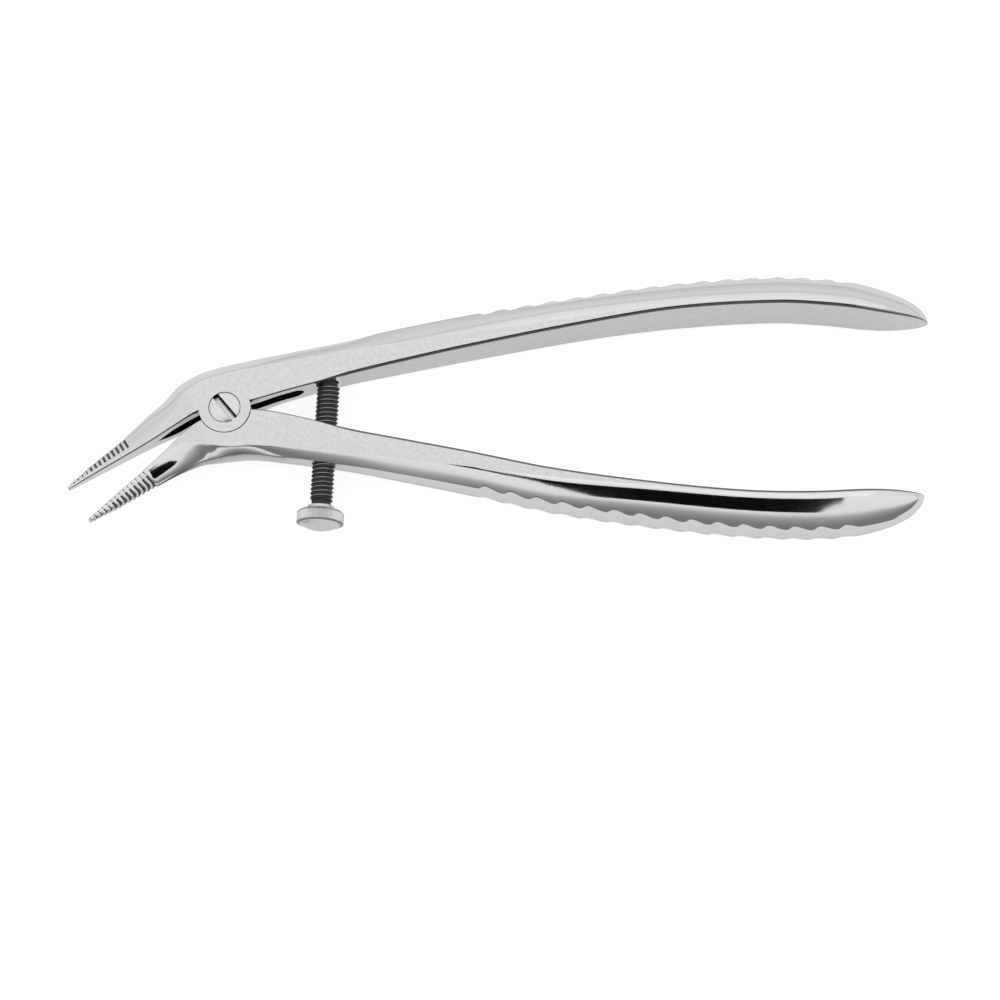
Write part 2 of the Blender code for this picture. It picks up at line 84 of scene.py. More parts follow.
def add_node(
    tree: Tree, kind: str, inputs: dict[str | int, Source], **options: str
) -> bpy.types.NodeOutputs:
    """Add a node with its options and inputs.

    Args:
        tree: The node tree.
        kind: The node's type.
        inputs: As for feed.
        options: The node's own settings.

    Returns:
        The node's outputs.
    """
    node = tree.nodes.new(kind)
    for name, value in options.items():
        setattr(node, name, value)
    feed(tree, node, inputs)
    return node.outputs


def new_material(name: str) -> tuple[bpy.types.Material, Tree, bpy.types.Node]:
    """Start a node material.

    Args:
        name: Name of the material.

    Returns:
        The material, its node tree and its shader.
    """
    material = bpy.data.materials.new(name)
    material.use_nodes = True
    tree = material.node_tree
    return material, tree, tree.nodes["Principled BSDF"]


# Finishes


@dataclass(frozen=True)
class SteelFinish:
    """A steel surface: how bright and rough it is, and the grain that grinding or polishing left.

    The grain is noise on Object coordinates, stretched along X by grain_stretch. Mottle is a
    fine change of tone, and wear a slow change of tone and roughness, as from handling.
    """

    name: str
    grey: float = 0.78
    roughness: float = 0.3
    grain: float = 0.0002
    grain_stretch: float = 1.0
    grain_depth: float = 0.000002
    grain_roughness: float = 0.05
    wear: float = 0.03
    wear_size: float = 0.012
    tone_spread: float = 0.02
    mottle: float = 0.0005
    mottle_spread: float = 0.02
    metal: float = 1.0

    def build(self) -> bpy.types.Material:
        """Make the node material.

        Returns:
            The finished material.
        """
        material, tree, shader = new_material(self.name)
        place = add_node(tree, "ShaderNodeTexCoord", {})["Object"]
        scale = (1.0 / self.grain_stretch, 1.0, 1.0)
        stretched = add_node(tree, "ShaderNodeMapping", {"Vector": place, "Scale": scale})["Vector"]
        grain = self._noise(tree, stretched, self.grain, detail=2.0)
        wear = self._noise(tree, place, self.wear_size, detail=4.0)
        mottle = self._noise(tree, place, self.mottle, detail=3.0)
        tone = self._vary(tree, 1.0, (wear, self.tone_spread), (mottle, self.mottle_spread))
        rough = self._vary(tree, self.roughness, (grain, self.grain_roughness), (wear, self.wear))
        plain = (self.grey, self.grey, self.grey, 1.0)
        colour = add_node(
            tree, "ShaderNodeMix", {"Factor": 1.0, "A": plain, "B": tone},
            data_type="RGBA", blend_type="MULTIPLY",
        )
        bump = add_node(tree, "ShaderNodeBump", {"Distance": self.grain_depth, "Height": grain})
        feed(tree, shader, {
            "Metallic": self.metal,
            "Specular IOR Level": 0.5 * self.metal,
            "Base Color": colour["Result"],
            "Roughness": rough,
            "Normal": bump["Normal"],
        })
        return material

    @staticmethod
    def _noise(
        tree: Tree, vector: Socket, size: float, detail: float
    ) -> Socket:
        """A noise pattern from 0 to 1 on the given coordinates, its largest blotches of a size."""
        inputs = {"Vector": vector, "Scale": 1.0 / size, "Detail": detail}
        return add_node(tree, "ShaderNodeTexNoise", inputs)["Fac"]

    @staticmethod
    def _vary(
        tree: Tree, base: float, *patterns: tuple[Socket, float]
    ) -> Socket:
        """Move a plain number up and down by two patterns.

        Args:
            tree: The material's node tree.
            base: The number.
            patterns: Each pattern from 0 to 1, with how far it moves the number either way.

        Returns:
            The number as it varies.
        """
        first, second = (
            add_node(tree, "ShaderNodeMapRange", {"Value": value, "To Min": -spread, "To Max": spread})
            for value, spread in patterns
        )
        pair = add_node(tree, "ShaderNodeMath", {0: first["Result"], 1: second["Result"]})
        return add_node(tree, "ShaderNodeMath", {0: pair["Value"], 1: base})["Value"]


@dataclass(frozen=True)
class FinishSet:
    """Every steel finish on the pliers."""

    satin_flat: SteelFinish = SteelFinish(
        "satin_flat", 0.745, 0.34, grain=0.00016, grain_depth=0.0000015, mottle_spread=0.20
    )
    polished_side: SteelFinish = SteelFinish(
        "polished_side", 0.78, 0.07, grain=0.0003, grain_stretch=6.0,
        grain_depth=0.0000002, grain_roughness=0.02, wear=0.02, mottle_spread=0.02,
    )
    satin_inner: SteelFinish = SteelFinish(
        "satin_inner", 0.74, 0.40, grain=0.00014, grain_depth=0.000002, mottle_spread=0.18
    )
    scalloped_strip: SteelFinish = SteelFinish(
        "scalloped_strip", 0.82, 0.36, grain=0.00014, grain_depth=0.000002, mottle_spread=0.16
    )
    # Near black: painted shade in the lap joint's gaps, its rooms and the pivot screw's slot, and a
    # painted reflection on the groove's floor beside the pivot.
    painted_shade_and_reflection: SteelFinish = SteelFinish("painted_shade_and_reflection", 0.012, 0.6, grain_depth=0.000001, metal=0.0)
    # Dark grey: a painted dark line of shade and reflection along the rounded inner edges, the scoops'
    # edges and the knob's base.
    edge_painted_dark_line: SteelFinish = SteelFinish(
        "edge_painted_dark_line", 0.21, 0.16, grain=0.0003, grain_stretch=6.0, grain_depth=0.0000004
    )
    # Dark grey: painted shade in the deeper part of the grooves between the jaw's ridges.
    ridge_groove: SteelFinish = SteelFinish("ridge_groove", 0.12, 0.30, grain_depth=0.000001)
    screw_head: SteelFinish = SteelFinish(
        "screw_head", 0.77, 0.3, grain=0.00012, grain_depth=0.000001, mottle_spread=0.16
    )
    # Flanks near black and crests dark grey: painted shade of the rod between the levers and between
    # its crests.
    thread: SteelFinish = SteelFinish("thread_flank_painted_shade", 0.05, 0.45, grain_depth=0.000001, metal=0.3)
    thread_crest: SteelFinish = SteelFinish("thread_crest", 0.36, 0.25, grain_depth=0.0000005)
    knurl: SteelFinish = SteelFinish(
        "knurl_steel", 0.70, 0.28, grain=0.00015, grain_depth=0.0000015, mottle_spread=0.16
    )

    def for_levers(self) -> list[bpy.types.Material]:
        """Make the finishes of the levers.

        Returns:
            The materials, in the order of Slot.
        """
        finishes = (
            self.satin_flat, self.polished_side, self.satin_inner, self.scalloped_strip,
            self.painted_shade_and_reflection, self.edge_painted_dark_line, self.ridge_groove,
        )
        return [finish.build() for finish in finishes]


class Slot(IntEnum):
    """The places of a lever's finishes in its list of materials."""

    FLAT = 0
    SIDE = 1
    INNER = 2
    STRIP = 3
    # Near black finish: painted shade in gaps and recesses, painted reflection in the groove.
    PAINTED_SHADE_AND_REFLECTION = 4
    # Dark grey finish: painted shade and reflection as a line along an edge.
    EDGE = 5
    # Dark grey finish: painted shade in the ridges' grooves.
    PAINTED_GROOVE_SHADE = 6


# Mesh helpers


def new_object(
    name: str, mesh: bmesh.types.BMesh, materials: Finishes
) -> Piece:
    """Turn a bmesh into an object in the scene.

    Args:
        name: Name of the object and its mesh.
        mesh: The shape, which is freed.
        materials: The finishes, in the order of the faces' material numbers.

    Returns:
        The new object, at the origin.
    """
    data = bpy.data.meshes.new(name)
    mesh.to_mesh(data)
    mesh.free()
    for material in materials:
        data.materials.append(material)
    item = bpy.data.objects.new(name, data)
    bpy.context.scene.collection.objects.link(item)
    return item


def sharpen(item: Piece, degrees: float = 28.0, at_finish_borders: bool = False) -> None:
    """Shade an object smooth, with crisp edges where its faces meet at more than an angle.

    Args:
        item: The object.
        degrees: The least angle of a crisp edge.
        at_finish_borders: Whether edges between two finishes are crisp as well.
    """
    mesh = bmesh.new()
    mesh.from_mesh(item.data)
    limit = math.radians(degrees)
    for face in mesh.faces:
        face.smooth = True
    for edge in mesh.edges:
        if len(edge.link_faces) != 2:
            continue
        first, second = edge.link_faces
        border = at_finish_borders and first.material_index != second.material_index
        edge.smooth = not border and edge.calc_face_angle(0.0) < limit
    mesh.to_mesh(item.data)
    mesh.free()


def cone_cutter(
    name: str,
    radii: tuple[float, float],
    heights: tuple[float, float],
    place: Matrix = Matrix.Identity(4),
    segments: int = 96,
    finish: int = 0,
) -> Piece:
    """A cylinder or cone that another piece is joined to or cut by.

    Args:
        name: Name of the cutter.
        radii: Radius at the bottom and at the top.
        heights: Bottom and top along its own Z axis.
        place: Where its own frame stands.
        segments: Sides of the round.
        finish: Material number that its walls leave behind.

    Returns:
        The cutter object.
    """
    mesh = bmesh.new()
    middle = Matrix.Translation((0, 0, sum(heights) / 2))
    bmesh.ops.create_cone(
        mesh, cap_ends=True, segments=segments, radius1=radii[0], radius2=radii[1],
        depth=heights[1] - heights[0], matrix=place @ middle,
    )
    for face in mesh.faces:
        face.material_index = finish
    return new_object(name, mesh, ())


def apply_booleans(target: Piece, steps: Iterable[tuple[Piece, str]]) -> None:
    """Join cutters to a piece or cut them from it, then remove the cutters.

    Args:
        target: The piece, whose mesh is replaced by the result.
        steps: Each cutter with UNION or DIFFERENCE.
    """
    cutters = []
    for cutter, operation in steps:
        for material in target.data.materials:
            cutter.data.materials.append(material)
        modifier = target.modifiers.new(cutter.name, "BOOLEAN")
        modifier.operation = operation
        modifier.object = cutter
        modifier.solver = "EXACT"
        cutters.append(cutter)
    graph = bpy.context.evaluated_depsgraph_get()
    result = bpy.data.meshes.new_from_object(target.evaluated_get(graph))
    target.modifiers.clear()
    old = target.data
    target.data = result
    result.name = target.name
    bpy.data.meshes.remove(old)
    for cutter in cutters:
        bpy.data.meshes.remove(cutter.data)


def place_and_ride(item: Piece, place: Matrix, body: str, slot: str, *nodes: str) -> None:
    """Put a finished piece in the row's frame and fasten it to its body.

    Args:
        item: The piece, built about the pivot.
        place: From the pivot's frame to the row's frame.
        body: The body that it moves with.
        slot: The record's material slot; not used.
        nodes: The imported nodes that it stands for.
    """
    item.data.transform(place)
    item.data.update()
    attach(item, body)
    if nodes:
        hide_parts(*nodes)
    log.info("%s: %d faces, rides on %s", item.name, len(item.data.polygons), body)


# The levers


@dataclass(frozen=True)
class LeverSection:
    """One cross-section of a lever, in metres and degrees.

    at is its station: the distance from the pivot along the handle, or minus that along the jaw.
    The inner and outer points lie in the lever's plane. half_width is half the thickness at the
    inner edge, flat the share of the height that stays flat, strip half the width of the outer
    strip, and turn how far the side curves.
    """

    at: float
    inner_x: float
    inner_y: float
    outer_x: float
    outer_y: float
    half_width: float
    flat: float
    strip: float
    turn: float

    @property
    def height(self) -> float:
        """The distance from the inner point to the outer point."""
        return math.dist((self.inner_x, self.inner_y), (self.outer_x, self.outer_y))

    def values(self) -> tuple[float, ...]:
        """Every field in order."""
        return tuple(getattr(self, item.name) for item in fields(self))


class LeverSide(Enum):
    """Which lever: its sign is the side of the jaw line that its jaw lies on."""

    UPPER = 1
    LOWER = -1


def smooth_step(value: float, start: float, end: float) -> float:
    """How far a value has gone from start to end, easing in and out, from nothing to one."""
    share = min(1.0, max(0.0, (value - start) / (end - start)))
    return share * share * (3 - 2 * share)


@dataclass
class JointSizes:
    """Sizes of the lap joint, the pivot screw and the stop screw that the pieces share."""

    half_thickness: float = 0.00415
    boss_radius: float = 0.0045
    gap: float = 0.00015
    head_radius: float = 0.0027
    head_height: float = 0.0017
    head_gap: float = 0.00009
    shank_radius: float = 0.0014
    screw_station: float = 0.0179
    screw_lean: float = 2.6
    screw_radius: float = 0.00200
    screw_length: float = 0.0226
    screw_gap: float = 0.00025
    thread_gap: float = 0.00006
    seat_radius: float = 0.00178
    seat_height: float = 0.0062685
    overcut: float = 0.001

    def screw_frame(self) -> Matrix:
        """Find the stop screw's own frame.

        Returns:
            The frame whose Z axis runs up the screw, with its origin on the seat's floor.
        """
        turn = Matrix.Rotation(-math.radians(self.screw_lean), 4, "Z")
        turn = turn @ Matrix.Rotation(-math.pi / 2, 4, "X")
        return Matrix.Translation((self.screw_station, self.seat_height, 0)) @ turn


@dataclass
class JawSizes:
    """Sizes of the jaws and of the ridges across their outer sides."""

    length: float = 0.0304
    line_offset: float = 0.0016
    slit: float = 0.0003
    tip_height: float = 0.00075
    root_height: float = 0.0066
    tip_half_width: float = 0.00060
    tip_edge: float = 0.00020
    ridge_start: float = 0.0174
    ridge_count: int = 14
    ridge_depth: float = 0.00026
    ridge_tip_share: float = 0.5
    ridge_start_share: float = 0.3
    crest_power: float = 1.4
    dark_share: float = 0.5

    def ridge_groove(self, at: float) -> float:
        """Find how deep the groove between two ridges is.

        Args:
            at: The station.

        Returns:
            Its depth there, which is nothing off the ridges.
        """
        zone = self.length - self.ridge_start
        distance = -at - self.ridge_start
        if distance < 0 or distance > zone:
            return 0.0
        phase = distance / zone * self.ridge_count % 1.0
        crest = abs(phase - 0.5) * 2
        taper = 1.0 - (1.0 - self.ridge_tip_share) * distance / zone
        return self.ridge_depth * taper * (1.0 - crest**self.crest_power)


@dataclass
class GripSizes:
    """Sizes of the handles' flats, sides and scooped outer strips."""

    waist: float = 0.0033
    half_width: float = 0.0058
    strip: float = 0.0031
    neck_strip: float = 0.0020
    butt_length: float = 0.0149
    scoop_count: int = 15
    scoop_start: float = 0.0454
    scoop_pitch: float = 0.00445
    scoop_rise: float = 0.0014
    scoop_depth: float = 0.0008
    scoop_slope: float = 1.2
    narrowest_strip: float = 0.3
    outer_edge: float = 0.00004

    @property
    def first_scoop(self) -> float:
        """The station where the first scoop begins."""
        return self.scoop_start - self.scoop_rise

    @property
    def last_scoop(self) -> float:
        """The station where the last scoop ends."""
        return self.first_scoop + self.scoop_count * self.scoop_pitch

    def scoop(self, at: float) -> float:
        """Find how far the scoop in the strip's edge reaches.

        Args:
            at: The station.

        Returns:
            Its share of the full scoop, from nothing to one.
        """
        index = math.floor((at - self.first_scoop) / self.scoop_pitch)
        if index < 0 or index >= self.scoop_count:
            return 0.0
        local = at - self.scoop_start - index * self.scoop_pitch
        span = self.scoop_rise if local < 0 else self.scoop_pitch - self.scoop_rise
        return 0.5 + 0.5 * math.cos(math.pi * local / span)


@dataclass
class Lever:
    """A lever with its jaw, boss and scalloped grip, swept through its cross-sections.

    The inner wall has a rounded edge towards each face. Beside the pivot a groove runs along the
    wall, and on the lower lever a fine ledge parts the flat face from the polished side.

    A pair of stations says where a feature grows or fades. A field with _of_ in its name is a
    limit, as a share of what it names. Steps are the faces round a ring, and ring_counts are the
    rings before, between and after the stations of ring_marks.
    """

    side: LeverSide
    sizes: JointSizes
    jaw: JawSizes
    grip: GripSizes
    handle_length: float
    handle_rise: float
    grip_depth: float
    jaw_angle: float
    sections: list[LeverSection] = field(default_factory=list)
    skin: float = 0.00001
    butt_gap: float = 0.0001
    pivot_edge: float = 0.00020
    handle_edge: float = 0.00047
    edge_growth: tuple[float, float] = (0.0160, 0.0220)
    edge_of_width: float = 0.2
    edge_of_height: float = 0.25
    hollow_depth: float = 0.00047
    hollow_half: float = 0.0016
    hollow_rise: tuple[float, float] = (-0.0128, -0.0083)
    hollow_fall: tuple[float, float] = (0.0121, 0.0139)
    hollow_of_height: float = 0.2
    hollow_of_width: float = 0.5
    hollow_least: float = 0.05
    # Share of the groove's full depth past which its floor is painted near black: a painted reflection.
    hollow_shown: float = 0.02
    polish_to: float = 0.0200
    flat_of_edge: float = 1.1
    ledge_run: float = 0.0001
    ledge_drop: float = 0.00012
    ledge_rise: tuple[float, float] = (-0.0032, -0.0022)
    ledge_fall: tuple[float, float] = (0.0088, 0.0098)
    neck_ease: float = 0.56
    jaw_ease: float = 0.75
    ridges_to_jaw: tuple[float, float] = (-0.0200, -0.0170)
    jaw_to_neck: tuple[float, float] = (-0.0060, -0.0030)
    neck_to_grip: tuple[float, float] = (0.0300, 0.0640)
    scoop_of_height: float = 0.5
    scoop_sag: float = 0.12
    hollow_steps: int = 2
    inner_steps: int = 3
    edge_steps: int = 5
    flat_steps: int = 3
    side_steps: int = 16
    scoop_steps: int = 3
    # Steps of each scoop that are painted as the dark line: painted shade and reflection.
    dark_scoop_steps: int = 1
    strip_steps: int = 2
    ring_marks: tuple[float, float, float] = (-0.0030, 0.0110, 0.0230)
    ring_counts: tuple[int, int, int, int] = (36, 42, 24, 24)
    rings_a_ridge: int = 8
    rings_a_scoop: int = 12
    butt_rings: int = 60
    butt_step: float = 1.48
    ring_gap: float = 0.0001

    def add_jaw_section(
        self, share: float, height: float, half_width: float, flat: float, strip: float, turn: float
    ) -> None:
        """Add a section square to the jaw line.

        Args:
            share: Distance from the pivot as a share of the jaw's length.
            height: From the inner point to the outer point.
            half_width: Half the thickness at the inner edge.
            flat: Share of the height that stays flat.
            strip: Half the width of the outer strip.
            turn: How far the side curves, in degrees.
        """
        sign = self.side.value
        angle = math.radians(self.jaw_angle)
        along = Vector((-math.cos(angle), -math.sin(angle)))
        above = Vector((-math.sin(angle), math.cos(angle)))
        distance = share * self.jaw.length
        inner = above * (self.jaw.line_offset + sign * self.jaw.slit / 2) + along * distance
        outer = inner + above * (sign * height)
        self.sections.append(LeverSection(-distance, *inner, *outer, half_width, flat, strip, turn))

    def add_pivot_section(
        self, at: float, inner: tuple[float, float], outer: tuple[float, float],
        half_width: float, flat: float, strip: float, turn: float,
    ) -> None:
        """Add a section near the pivot.

        Args:
            at: Station as a share of the boss's radius.
            inner: The inner point, in shares of the boss's radius.
            outer: The outer point, in shares of the boss's radius.
            half_width: As for add_jaw_section, like flat, strip and turn.
        """
        boss = self.sizes.boss_radius
        places = [boss * value for value in (at, *inner, *outer)]
        self.sections.append(LeverSection(*places, half_width, flat, strip, turn))

    def add_handle_section(
        self, share: float, rise: float, depth: float,
        half_width: float, flat: float, strip: float, turn: float,
    ) -> None:
        """Add a section square to the X axis.

        Args:
            share: Station as a share of the handle's length.
            rise: Height of the inner point as a share of the handle's rise.
            depth: From the inner point to the outer point, as a share of the grip's depth.
            half_width: As for add_jaw_section, like flat, strip and turn.
        """
        at = share * self.handle_length
        inner = rise * self.handle_rise
        outer = inner + depth * self.grip_depth
        self.sections.append(LeverSection(at, at, inner, at, outer, half_width, flat, strip, turn))

    def section_at(self, at: float) -> LeverSection:
        """The cross-section at a station, on a smooth curve through the named sections.

        Args:
            at: The station.

        Returns:
            The section there.
        """
        rows = self.sections
        last = len(rows) - 1
        index = 0
        while index < last - 1 and rows[index + 1].at < at:
            index += 1
        before = rows[max(index - 1, 0)].values()
        start = rows[index].values()
        end = rows[index + 1].values()
        after = rows[min(index + 2, last)].values()
        span = end[0] - start[0]
        share = (at - start[0]) / span
        weights = (
            2 * share**3 - 3 * share**2 + 1,
            share**3 - 2 * share**2 + share,
            -2 * share**3 + 3 * share**2,
            share**3 - share**2,
        )
        blended = []
        for a, b, c, d in zip(before, start, end, after):
            start_slope = (c - a) / (end[0] - before[0]) * span
            end_slope = (d - b) / (after[0] - start[0]) * span
            blended.append(
                weights[0] * b + weights[1] * start_slope + weights[2] * c + weights[3] * end_slope
            )
        return LeverSection(at, *blended[1:])

    def inner_edge(self, at: float) -> float:
        """Radius of the inner wall's edge at a station: small at the pivot, larger on the handle."""
        on_handle = smooth_step(at, *self.edge_growth)
        return self.pivot_edge + (self.handle_edge - self.pivot_edge) * on_handle

    def hollow(self, at: float) -> float:
        """Depth of the groove along the inner wall at a station."""
        fall = smooth_step(at, *self.hollow_fall)
        return self.hollow_depth * smooth_step(at, *self.hollow_rise) * (1.0 - fall)

    def ledge(self, at: float) -> float:
        """How much of the lower lever's fine ledge beside the flat there is at a station."""
        share = smooth_step(at, *self.ledge_rise) * (1.0 - smooth_step(at, *self.ledge_fall))
        return share if self.side is LeverSide.LOWER else 0.0

    def ease(self, at: float) -> float:
        """Find how the side curves away from the flat.

        Args:
            at: The station.

        Returns:
            The power of the curve: under one it leaves the flat at an angle.
        """
        past_jaw = smooth_step(at, *self.jaw_to_neck)
        jaw = smooth_step(at, *self.ridges_to_jaw) * (1.0 - past_jaw)
        neck = past_jaw * (1.0 - smooth_step(at, *self.neck_to_grip))
        return 1.0 - (1.0 - self.jaw_ease) * jaw - (1.0 - self.neck_ease) * neck

    def half_ring(self, section: LeverSection) -> list[tuple[float, float]]:
        """Find the upper half of a ring.

        Args:
            section: The cross-section.

        Returns:
            Points from the middle of the inner face to the middle of the outer strip, each as
            (distance from the inner point, height over the middle plane).
        """
        at = section.at
        height = max(section.height - self.skin, self.skin)
        half = section.half_width - self.skin
        strip = min(section.strip, half)
        edge = min(self.inner_edge(at), self.edge_of_width * half, self.edge_of_height * height)
        hollow = min(self.hollow(at), self.hollow_of_height * height)
        groove_half = min(self.hollow_half, self.hollow_of_width * half)
        groove_half *= max(self.hollow_least, math.sqrt(self.hollow(at) / self.hollow_depth))
        wall = half - edge
        points = []
        for step in range(self.hollow_steps + 1):
            part = step / self.hollow_steps
            points.append((hollow * (1.0 - part), groove_half * part))
        for step in range(1, self.inner_steps + 1):
            points.append((0.0, groove_half + (wall - groove_half) * step / self.inner_steps))
        for step in range(1, self.edge_steps + 1):
            angle = math.pi / 2 * step / self.edge_steps
            points.append((edge * (1 - math.cos(angle)), wall + edge * math.sin(angle)))
        flat = max(section.flat * height, self.flat_of_edge * edge)
        for step in range(1, self.flat_steps + 1):
            points.append((edge + (flat - edge) * step / self.flat_steps, half))
        ledge = self.ledge(at)
        start = flat + self.ledge_run * ledge
        top = half - self.ledge_drop * ledge
        points.append((start, top))
        reach = self.grip.scoop(at)
        notch = max(self.grip.outer_edge, self.grip.scoop_depth * reach)
        end = height - min(self.scoop_of_height * height, notch)
        turn = math.radians(section.turn)
        ease = self.ease(at)
        for step in range(1, self.side_steps + 1):
            place = start + (end - start) * step / self.side_steps
            share = (place - start) / (height - start)
            cosine = math.sqrt(1.0 - (share**ease * math.sin(turn)) ** 2)
            fall = (cosine - math.cos(turn)) / (1.0 - math.cos(turn))
            points.append((place, strip + (top - strip) * fall))
        side_end = points[-1][1]
        strip_end = max(self.grip.narrowest_strip * strip, strip - self.grip.scoop_slope * notch)
        for step in range(1, self.scoop_steps + 1):
            part = step / self.scoop_steps
            sag = self.scoop_sag * reach * math.sin(math.pi * part)
            place = end + (height - end) * (part - sag)
            points.append((place, side_end + (strip_end - side_end) * part))
        for step in range(1, self.strip_steps + 1):
            points.append((height, strip_end * (1.0 - step / self.strip_steps)))
        return points

    def ring(self, at: float) -> list[Vector]:
        """The closed outline at a station, its first point repeated at its end.

        Args:
            at: The station.

        Returns:
            Points in the pivot's frame, from the middle of the inner face round to it again.
        """
        section = self.section_at(at)
        inner = Vector((section.inner_x, section.inner_y, 0))
        rise = Vector((section.outer_x, section.outer_y, 0)) - inner
        rise.normalize()
        butt = self.handle_length - self.butt_gap - self.grip.butt_length
        past_butt = (at - butt) / self.grip.butt_length
        scale = math.sqrt(max(0.0, 1.0 - past_butt**2)) if past_butt > 0 else 1.0
        height = max(section.height, self.skin)
        groove = self.jaw.ridge_groove(at)
        upper = []
        for distance, width in self.half_ring(section):
            share = distance / height
            cut = groove * min(1.0, share / self.jaw.ridge_start_share)
            point = inner + rise * (scale * distance * (1.0 - cut / height))
            point.z = (width - cut * (1.0 - share)) * scale
            upper.append(point)
        lower = [Vector((point.x, point.y, -point.z)) for point in reversed(upper)]
        return upper + lower[1:]

    def stations(self) -> list[float]:
        """Choose the stations that have a ring, close together where the shape changes fast.

        Returns:
            The stations, from the jaw's tip to the end of the handle.
        """
        grip = self.grip
        zone = self.jaw.length - self.jaw.ridge_start
        ridge_steps = self.rings_a_ridge * self.jaw.ridge_count
        marks = {-self.jaw.ridge_start - zone * index / ridge_steps for index in range(ridge_steps + 1)}
        ends = (-self.jaw.ridge_start, *self.ring_marks, grip.first_scoop, grip.last_scoop)
        counts = (*self.ring_counts, self.rings_a_scoop * grip.scoop_count)
        for start, end, count in zip(ends, ends[1:], counts):
            marks.update(start + (end - start) * index / count for index in range(1, count + 1))
        butt = self.handle_length - self.butt_gap - grip.butt_length
        for index in range(1, self.butt_rings + 1):
            station = butt + grip.butt_length * math.sin(math.radians(self.butt_step * index))
            if station > grip.last_scoop + self.ring_gap:
                marks.add(station)
        return sorted(marks)

    def finish_numbers(self, at: float) -> list[Slot]:
        """Choose the finish of each strip of faces round a ring.

        Args:
            at: The station of the strips' middle.

        Returns:
            A finish for each strip, in the order of the ring's points.
        """
        wall = Slot.SIDE if at < self.polish_to else Slot.INNER
        # Where the groove beside the pivot is deep enough, its floor takes the near-black finish: a
        # painted reflection of the dark surroundings.
        hollowed = self.hollow(at) > self.hollow_shown * self.hollow_depth
        # The rounded inner edge is painted as a dark line of painted shade and reflection, except on
        # the lower jaw.
        edge = Slot.FLAT if self.side is LeverSide.LOWER and at < 0 else Slot.EDGE
        # Past dark_share of the ridge's depth the groove is painted dark: painted shade.
        grooved = self.jaw.ridge_groove(at) > self.jaw.dark_share * self.jaw.ridge_depth
        plain_steps = round(self.jaw.ridge_start_share * self.side_steps)
        half = [Slot.PAINTED_SHADE_AND_REFLECTION if hollowed else wall] * self.hollow_steps
        half += [wall] * self.inner_steps
        half += [edge] * self.edge_steps
        half += [Slot.FLAT] * self.flat_steps
        half += [Slot.SIDE] * (1 + plain_steps)
        half += [Slot.PAINTED_GROOVE_SHADE if grooved else Slot.SIDE] * (self.side_steps - plain_steps)
        # The first steps of each scoop are painted as the dark line: painted shade and reflection along
        # the strip's wavy edge.
        half += [Slot.EDGE] * self.dark_scoop_steps
        half += [Slot.STRIP] * (self.scoop_steps - self.dark_scoop_steps + self.strip_steps)
        return half + half[::-1]

    def sweep(self, name: str, materials: Finishes) -> Piece:
        """Bend a grid into the lever's closed skin.

        Args:
            name: Name of the object.
            materials: The finishes in the order of Slot.

        Returns:
            The lever without its joint.
        """
        stations = self.stations()
        rings = [self.ring(at) for at in stations]
        numbers = [self.finish_numbers((start + end) / 2) for start, end in zip(stations, stations[1:])]
        around = len(rings[0]) - 1
        along = len(rings) - 1
        mesh = bmesh.new()
        bmesh.ops.create_grid(mesh, x_segments=around, y_segments=along, size=0.5)
        places = {}
        for vertex in mesh.verts:
            column = round((vertex.co.x + 0.5) * around)
            row = round((vertex.co.y + 0.5) * along)
            places[vertex] = (column, row)
        for face in mesh.faces:
            column = min(places[vertex][0] for vertex in face.verts)
            row = min(places[vertex][1] for vertex in face.verts)
            face.material_index = numbers[row][column]
        firsts = {row: vertex for vertex, (column, row) in places.items() if column == 0}
        for vertex, (column, row) in places.items():
            vertex.co = rings[row][column]
        seam = {vertex: firsts[row] for vertex, (column, row) in places.items() if column == around}
        bmesh.ops.weld_verts(mesh, targetmap=seam)
        ends = [edge for edge in mesh.edges if edge.is_boundary]
        caps = bmesh.ops.holes_fill(mesh, edges=ends, sides=0)["faces"]
        for face in caps:
            face.material_index = Slot.SIDE
        bmesh.ops.recalc_face_normals(mesh, faces=mesh.faces)
        return new_object(name, mesh, materials)

    def joint_steps(self) -> list[tuple[Piece, str]]:
        """Make the boss to join and the rooms to cut for the lap joint and the pivot's shank.

        Returns:
            Each cutter with its operation.
        """
        sizes = self.sizes
        half = sizes.half_thickness
        sign = self.side.value
        boss_span = sorted((sign * sizes.gap / 2, sign * half))
        room_span = sorted((sign * sizes.gap / 2, -sign * (half + sizes.overcut)))
        boss = sizes.boss_radius
        room = boss + sizes.gap
        shank = sizes.shank_radius + sizes.gap
        through = (-half - sizes.overcut, half + sizes.overcut)
        # The walls that the rooms leave are painted near black: painted shade in the gaps of the lap
        # joint.
        return [
            (cone_cutter("boss", (boss, boss), boss_span, finish=Slot.FLAT), "UNION"),
            (cone_cutter("lap_room", (room, room), room_span, finish=Slot.PAINTED_SHADE_AND_REFLECTION), "DIFFERENCE"),
            (cone_cutter("shank_room", (shank, shank), through, finish=Slot.PAINTED_SHADE_AND_REFLECTION), "DIFFERENCE"),
        ]

    def screw_steps(self) -> list[tuple[Piece, str]]:
        """Make the cutters for the pivot screw's head and for the stop screw.

        Returns:
            Each cutter with its operation.
        """
        sizes = self.sizes
        place = sizes.screw_frame()
